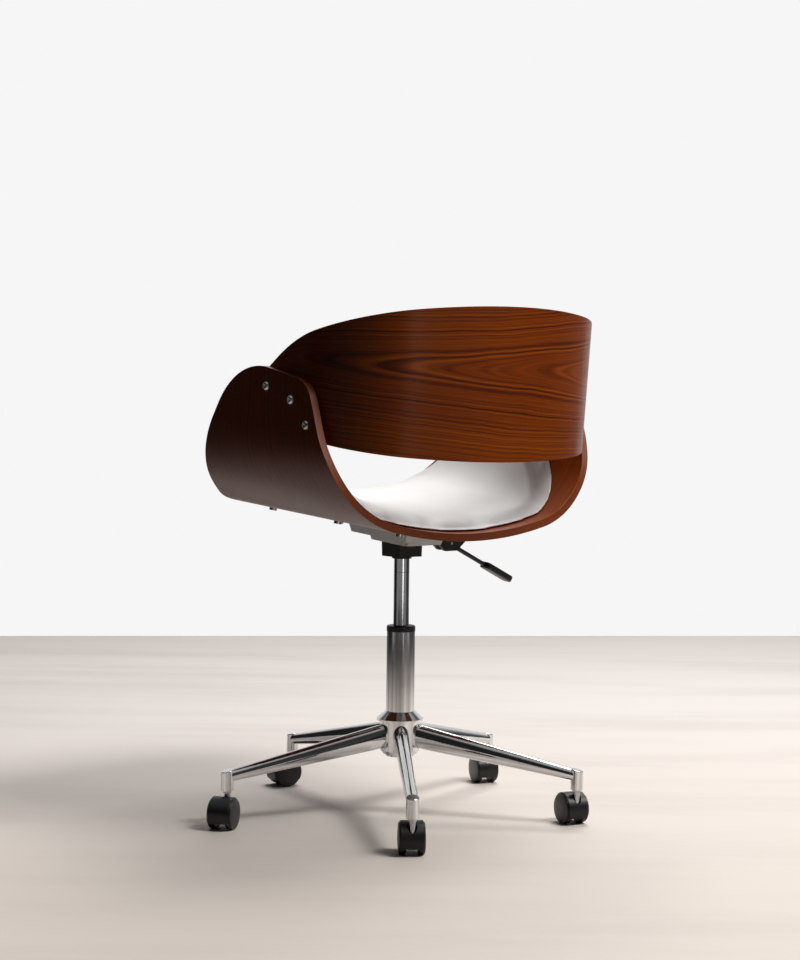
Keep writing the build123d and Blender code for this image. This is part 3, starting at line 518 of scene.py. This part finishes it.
# Back, bent round the sitter. Corners are (back, up) from the floor under the column
backLook = {
    "lean": 5.2, "level": 0.733, "rear": 0.297, "thickness": 0.012, "arris": 0.002, "runs": 88, "rows": 30,
    "half": 0.2839, "middle": 0.441, "corner": 0.180, "heart": (0.25, 0.082), "contrast": 1.0,
    "side": [(0.372, 0.907), (0.065, 0.8375), (-0.100, 0.733), (0.110, 0.672), (0.372, 0.622)],
    "radii": [0.330, 0.030, 0.400],
    "ends": lambda arcs: arcs[1],
    "stands": ["back_shell"], "wingGap": 0.0002,
}
lean = radians(backLook["lean"])
backOut = Vector((0, cos(lean), -sin(lean)))
backUp = Vector((0, sin(lean), cos(lean)))
backBend = BentPanel(backLook["half"], backLook["middle"], backLook["corner"],
                     Vector((0, 0, backLook["level"])) + backLook["rear"] * backOut, -backOut, backUp)
backLook["corners"] = []
for back, up in backLook["side"]:
    spot = Vector((0, back, up)) - backBend.origin
    backLook["corners"].append((spot.dot(backUp), -spot.dot(backOut)))
backFaces = [walnutFinish("walnutBack", backLook["heart"], backLook["contrast"]),
             plyFinish("backPly", backLook["thickness"])]
backPanel = bentSheet("backPanel", backBend, backLook, backFaces)
layOut(backPanel, backBend)
wingDepth = seatLook["thickness"] + backLook["wingGap"]
for vert in backPanel.data.vertices:  # eased where a wing meets the bend of an arm
    run, across, depth = seatBend.flat(vert.co)
    if wingDepth > depth > 0:
        vert.co = seatBend.bend(run, across, wingDepth)
print("back panel,", len(backPanel.data.polygons), "faces")


# Pads: the solid drawn in a little, blown up as cloth, pulled smooth and pressed onto the panel under it
padding = {"weld": 0.00002, "belly": 0.5, "quality": 5, "frames": 20, "smoothing": 0.5}


def softPad(name, panel, look, hide):
    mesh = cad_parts[look["node"]].data.copy()
    bm = bmesh.new()
    bm.from_mesh(mesh)
    bpy.data.meshes.remove(mesh)
    bmesh.ops.remove_doubles(bm, verts=bm.verts[:], dist=padding["weld"])
    bm.normal_update()
    for vert in bm.verts:
        vert.co -= vert.normal * look["drawnIn"]
    piece = newPiece(bm, name, "seat", [look["node"]], [hide])
    voxels = piece.modifiers.new("voxels", "REMESH")
    voxels.mode = "VOXEL"
    voxels.voxel_size = look["voxel"]
    rough = bpy.data.meshes.new_from_object(piece.evaluated_get(bpy.context.evaluated_depsgraph_get()))
    piece.modifiers.remove(voxels)
    bm = bmesh.new()
    bm.from_mesh(rough)
    bpy.data.meshes.remove(rough)
    bm.to_mesh(piece.data)
    bm.free()
    relax(piece.data, look["smooth"])
    blowUp(piece, look)
    spots = [panel.flat(vert.co) for vert in piece.data.vertices]
    under = look["under"]
    top = max(spot.z for spot in spots)
    belly = under + (top - under) * padding["belly"]  # the widest level, which goes down to pressed
    pressed = under + (belly - under) * look["press"]
    for vert, (run, across, depth) in zip(piece.data.vertices, spots):
        if depth < belly:
            depth = under + max(0.0, depth - under) * look["press"]
        else:
            depth = pressed + (depth - belly) * (top - pressed) / (top - belly)
        across *= look["rear"] if across > 0 else 1.0
        vert.co = panel.bend(run * look["reach"], across, depth)
    piece.data.shade_smooth()
    finer = piece.modifiers.new("finer", "SUBSURF")
    finer.levels = finer.render_levels = 1
    print(name, len(piece.data.polygons), "faces before the last division")
    return piece


def blowUp(piece, look):
    rest = [vert.co.copy() for vert in piece.data.vertices]
    cloth = piece.modifiers.new("cloth", "CLOTH")
    cloth.settings.quality = padding["quality"]
    cloth.settings.use_pressure = True
    cloth.settings.uniform_pressure_force = look["pressure"]
    cloth.settings.effector_weights.gravity = 0
    for number in range(1, padding["frames"] + 1):
        scene.frame_set(number)
    blown = piece.evaluated_get(bpy.context.evaluated_depsgraph_get()).data
    swollen = [vert.co.copy() for vert in blown.vertices]
    piece.modifiers.remove(cloth)
    for vert, old, new in zip(piece.data.vertices, rest, swollen):
        shift = new - old
        if shift.length > look["cap"]:
            shift *= look["cap"] / shift.length
        vert.co = old + shift
    scene.frame_set(1)
    relax(piece.data, look["settle"])  # the hide is pulled smooth


def relax(mesh, laps):
    bm = bmesh.new()
    bm.from_mesh(mesh)
    for lap in range(laps):
        bmesh.ops.smooth_vert(bm, verts=bm.verts[:], factor=padding["smoothing"],
                              use_axis_x=True, use_axis_y=True, use_axis_z=True)
    bm.to_mesh(mesh)
    bm.free()


whiteHide = leatherFinish("whiteLeather")
seatPadLook = {
    "node": "seat_pad", "drawnIn": 0.003, "voxel": 0.0055, "smooth": 6, "pressure": 4.0, "cap": 0.006,
    "settle": 5, "reach": 1.07, "rear": 1.05, "press": 0.3, "under": 0.0134, "fill": 0.7,
}
seatCushion = softPad("seatCushion", seatBend, seatPadLook, whiteHide)
backPadLook = {
    "node": "back_pad", "drawnIn": 0.003, "voxel": 0.0045, "smooth": 6, "pressure": 4.0, "cap": 0.005,
    "settle": 5, "reach": 1.0, "rear": 1.0, "press": 0.4, "under": 0.0124, "fill": 0.7,
}
backCushion = softPad("backCushion", backBend, backPadLook, whiteHide)


# Camera of the photograph
cameraLook = {"azimuth": 142.0, "distance": 3.304, "height": 0.733, "pitch": 2.35, "roll": 0.66,
              "focal": 1859.0, "offset": 2.7, "image": (800, 960)}
azimuth, pitch, roll = (radians(cameraLook[name]) for name in ("azimuth", "pitch", "roll"))
toRight = Vector((cos(azimuth), sin(azimuth), 0))
toCamera = Vector((sin(azimuth), -cos(azimuth), 0))
tipped = Vector((0, 0, cos(pitch))) - toCamera * sin(pitch)
backward = toCamera * cos(pitch) + Vector((0, 0, sin(pitch)))
cameraRight = toRight * cos(roll) + tipped * sin(roll)
cameraUp = tipped * cos(roll) - toRight * sin(roll)
lens = bpy.data.cameras.new("camera")
lens.sensor_width = 36.0
lens.lens = cameraLook["focal"] / cameraLook["image"][1] * lens.sensor_width
lens.shift_x = -cameraLook["offset"] / cameraLook["image"][1]
camera = bpy.data.objects.new("camera", lens)
turn = Matrix((cameraRight, cameraUp, backward)).transposed().to_4x4()
stand = toCamera * cameraLook["distance"] + Vector((0, 0, cameraLook["height"]))
camera.matrix_world = Matrix.Translation(stand) @ turn
scene.collection.objects.link(camera)
scene.camera = camera

# Floor, which ends behind the chair in a straight line, and a white wall in the world.
# Only the part round the chair is lit, which the metal shows
floorLook = {
    "behind": 2.544, "ahead": 3.0, "side": 2.2, "skew": -5.3, "inner": 1.5, "pool": (0.8, 2.2),
    # the near, middle and far tones are painted light falloff on the floor
    "near": rgb(230, 219, 209), "middle": rgb(244, 236, 230), "far": rgb(236, 227, 220),
    "nearStep": (-1.5, 0.7), "farStep": (-2.5, -1.6), "streak": rgb(205, 192, 183),
    "streakPace": (0.7, 4.0), "streakStep": (0.42, 0.72), "streakMost": 0.30,
    "turnPace": (1.9, 1.9, 0.0), "turnStep": (0.3, 0.65), "turnLight": (0.65, 1.25),
    "dim": 0.10, "bounce": 0.09,
}
bm = bmesh.new()
bmesh.ops.create_grid(bm, x_segments=4, y_segments=4, size=1.0)
for vert in bm.verts:
    side = vert.co.x * floorLook["side"]
    if vert.co.y < -0.9:
        reach = side * tan(radians(floorLook["skew"])) - floorLook["behind"]
    elif vert.co.y > 0.9:
        reach = floorLook["ahead"]
    else:
        reach = vert.co.y * floorLook["inner"]
    vert.co = toRight * side + toCamera * reach
bmesh.ops.recalc_face_normals(bm, faces=bm.faces[:])
floorMesh = bpy.data.meshes.new("floor")
bm.to_mesh(floorMesh)
bm.free()
floor = bpy.data.objects.new("floor", floorMesh)
scene.collection.objects.link(floor)
material, f = newFinish("paleFloor")
place = f.add("ShaderNodeTexCoord", None, None, "Object")
rays, shown = f.sight()
depth = f.along(place, toCamera)
width = f.along(place, toRight)
away = f.add("ShaderNodeVectorMath", {"operation": "LENGTH"}, {0: place}, "Value")
brushed = f.add("ShaderNodeCombineXYZ", None,
                {0: width * floorLook["streakPace"][0], 1: depth * floorLook["streakPace"][1], 2: 0.0})
brushed = f.noise(brushed, 1.0, 4.0, 0.6)
# painted light falloff: the floor is painted lightest some way behind the chair, darker towards the camera
# and a little darker towards the wall
pale = f.mixed(f.step(depth, *floorLook["farStep"]), floorLook["far"], floorLook["middle"])
pale = f.mixed(f.step(depth, *floorLook["nearStep"]), pale, floorLook["near"])
streaks = f.step(brushed, *floorLook["streakStep"], 0.0, floorLook["streakMost"])
pale = f.mixed(streaks, pale, floorLook["streak"])
way = f.add("ShaderNodeVectorMath", {"operation": "NORMALIZE"}, {0: place})
turned = f.noise(f.scaled(way, floorLook["turnPace"]), 1.0, 1.0)
lit = f.step(away, *floorLook["pool"], 1.0, floorLook["dim"])
lit = lit * f.step(turned, *floorLook["turnStep"], *floorLook["turnLight"])
seen = rays + shown * lit + (1.0 - rays - shown) * floorLook["bounce"]
pale = f.mixed(seen, (0.0, 0.0, 0.0, 1.0), pale)
f.skin({"Base Color": pale, "Roughness": 0.6, "Specular IOR Level": 0.2})
floorMesh.materials.append(material)

# Room: dark, with a pale ceiling and wall, a strip of far floor, and a narrow window right of the camera.
# Reflections show all of it. It lights the chair by a small share, and the window not at all
roomLook = {
    "fill": 0.015, "spill": 0.16, "right": 0.05, "rightStep": (0.2, 0.95),
    "wall": 0.70, "wallStep": (0.55, 0.85), "ceiling": 0.40, "ceilingStep": (0.55, 0.90),
    "low": (-0.15, -0.12), "farFloor": 0.34, "farFloorStep": (-0.08, -0.02), "aheadStep": (0.1, 0.5),
    "window": 3.2, "windowTurn": 23.0, "windowWidth": (0.06, 0.14), "windowStep": (0.5, 0.8),
    "windowTop": (-0.06, -0.03), "backdrop": rgb(246, 246, 246),
}
world = bpy.data.worlds.new("studio")
scene.world = world
world.use_nodes = True
f = Finish(world.node_tree)
gaze = f.add("ShaderNodeTexCoord", None, None, "Generated")
rays, shown = f.sight()
upward = f.along(gaze, (0, 0, 1))
low = f.step(upward, *roomLook["low"])  # nothing lower is lit, so the back stays clear
windowTurn = radians(roomLook["windowTurn"])
window = f.step(f.along(gaze, toRight * cos(windowTurn) - toCamera * sin(windowTurn)).size(),
                *roomLook["windowWidth"], 1.0, 0.0)
window = window * f.step(f.along(gaze, toCamera * cos(windowTurn) + toRight * sin(windowTurn)),
                         *roomLook["windowStep"])
window = window * low * f.step(upward, *roomLook["windowTop"], 1.0, 0.0)
farFloor = f.step(f.along(gaze, toCamera), *roomLook["aheadStep"]) * low
farFloor = farFloor * f.step(upward, *roomLook["farFloorStep"], roomLook["farFloor"], 0.0)
glow = roomLook["fill"] + f.step(f.along(gaze, toRight), *roomLook["rightStep"]) * roomLook["right"]
glow = glow + f.step(f.along(gaze, -toCamera), *roomLook["wallStep"]) * roomLook["wall"]
glow = glow + f.step(upward, *roomLook["ceilingStep"]) * roomLook["ceiling"] + farFloor
glow = glow * (roomLook["spill"] + shown * (1.0 - roomLook["spill"])) + window * shown * roomLook["window"]
room = f.add("ShaderNodeCombineXYZ", None, {0: glow, 1: glow, 2: glow})
backdrop = f.mixed(rays, room, roomLook["backdrop"])
f.add("ShaderNodeOutputWorld", None, {"Surface": f.add("ShaderNodeBackground", None, {"Color": backdrop})})

# Lamps: a wide faint one at the right, a smaller one right of the camera, and a wide one high beyond the
# chair. The left arm stays in shade
lampAim = Vector((0, 0, 0.55))
lamps = {
    "sideLamp": {"right": 4.1, "ahead": -0.2, "up": 3.4, "size": 2.6, "power": 28.0},
    "keyLamp": {"right": 2.3, "ahead": 1.2, "up": 3.6, "size": 1.4, "power": 114.0},
    "topLamp": {"right": 0.7, "ahead": -1.9, "up": 4.6, "size": 2.4, "power": 144.0},
}
for name, look in lamps.items():
    lamp = bpy.data.lights.new(name, "AREA")
    lamp.shape = "SQUARE"
    lamp.size = look["size"]
    lamp.energy = look["power"]
    holder = bpy.data.objects.new(name, lamp)
    stand = toRight * look["right"] + toCamera * look["ahead"] + Vector((0, 0, look["up"]))
    aim = (lampAim - stand).to_track_quat("-Z", "Y").to_matrix().to_4x4()
    holder.matrix_world = Matrix.Translation(stand) @ aim
    scene.collection.objects.link(holder)
print("camera, floor and lamps set")
